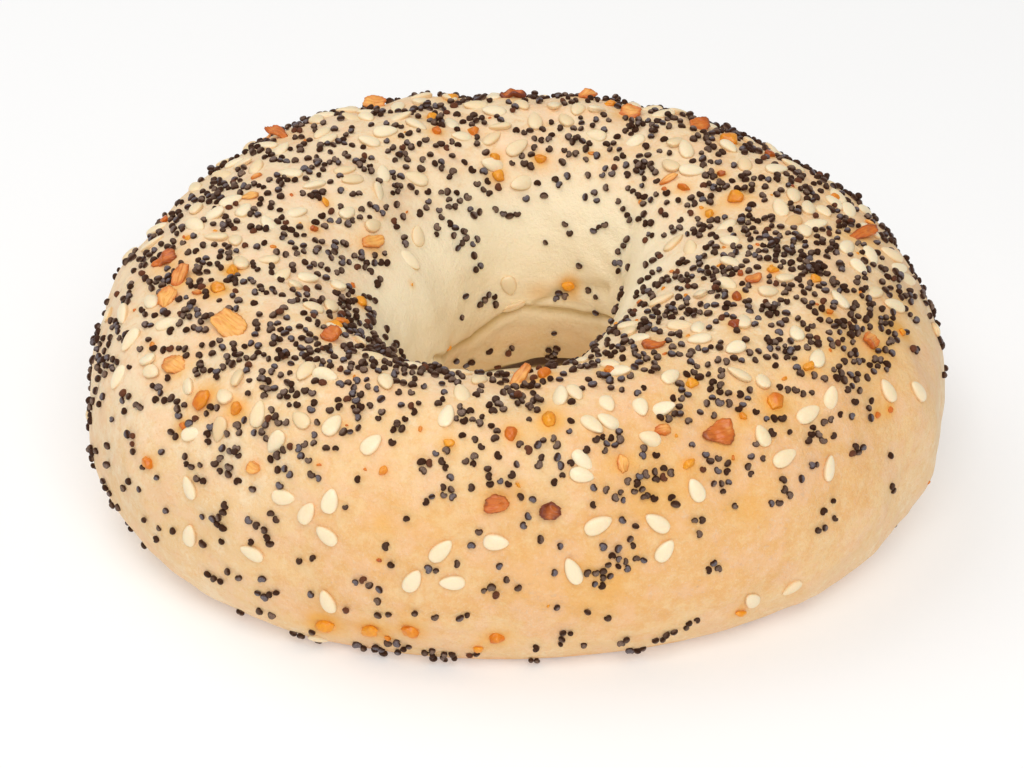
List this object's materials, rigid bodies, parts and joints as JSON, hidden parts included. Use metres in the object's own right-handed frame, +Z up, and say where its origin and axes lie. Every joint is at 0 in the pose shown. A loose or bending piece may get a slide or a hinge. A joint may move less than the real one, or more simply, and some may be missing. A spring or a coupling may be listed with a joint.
{
  "type": "everything bagel",
  "caption": "Baked ring of bread with a flat base and an open centre hole, its crust strewn with sesame and poppy seeds and dried onion and garlic.",
  "frame": {"origin": "middle of the whole bagel's box on the surface that it rests on", "axes": "+Z up through the hole, +X along the longer side of the ring"},
  "size_m": [0.1102, 0.099, 0.0362],
  "materials": {
    "crust": "baked matt crust, pale tan to golden, slightly mottled",
    "sesame": "smooth hull, faint oily shine",
    "onion": "dried and toasted, amber to brown",
    "garlic": "dried and toasted granules, golden",
    "poppy": "blue-black pitted hull, low sheen"
  },
  "bodies": {
    "root": {"bread_ring": "crust", "onion_flake_01": "onion", "onion_flake_02": "onion", "onion_flake_03": "onion", "onion_flake_04": "onion", "onion_flake_05": "onion", "onion_flake_06": "onion", "onion_flake_07": "onion", "onion_flake_08": "onion", "onion_flake_09": "onion", "onion_flake_10": "onion", "onion_flake_11": "onion", "onion_flake_12": "onion", "onion_flake_13": "onion", "onion_flake_14": "onion", "onion_flake_15": "onion", "onion_flake_16": "onion", "onion_flake_17": "onion", "onion_flake_18": "onion", "onion_flake_19": "onion", "onion_flake_20": "onion", "onion_flake_21": "onion", "onion_flake_22": "onion", "onion_flake_23": "onion", "garlic_granule_01": "garlic", "garlic_granule_02": "garlic", "garlic_granule_03": "garlic", "garlic_granule_04": "garlic", "garlic_granule_05": "garlic", "garlic_granule_06": "garlic", "garlic_granule_07": "garlic", "garlic_granule_08": "garlic", "garlic_granule_09": "garlic", "garlic_granule_10": "garlic", "garlic_granule_11": "garlic", "sesame_seed_01": "sesame", "sesame_seed_02": "sesame", "sesame_seed_03": "sesame", "sesame_seed_04": "sesame", "sesame_seed_05": "sesame", "sesame_seed_06": "sesame", "sesame_seed_07": "sesame", "sesame_seed_08": "sesame", "sesame_seed_09": "sesame", "sesame_seed_10": "sesame", "sesame_seed_11": "sesame", "sesame_seed_12": "sesame", "sesame_seed_13": "sesame", "sesame_seed_14": "sesame", "sesame_seed_15": "sesame", "sesame_seed_16": "sesame", "sesame_seed_17": "sesame", "sesame_seed_18": "sesame", "sesame_seed_19": "sesame", "sesame_seed_20": "sesame", "sesame_seed_21": "sesame", "sesame_seed_22": "sesame", "sesame_seed_23": "sesame", "sesame_seed_24": "sesame", "sesame_seed_25": "sesame"}
  },
  "joints": []
}
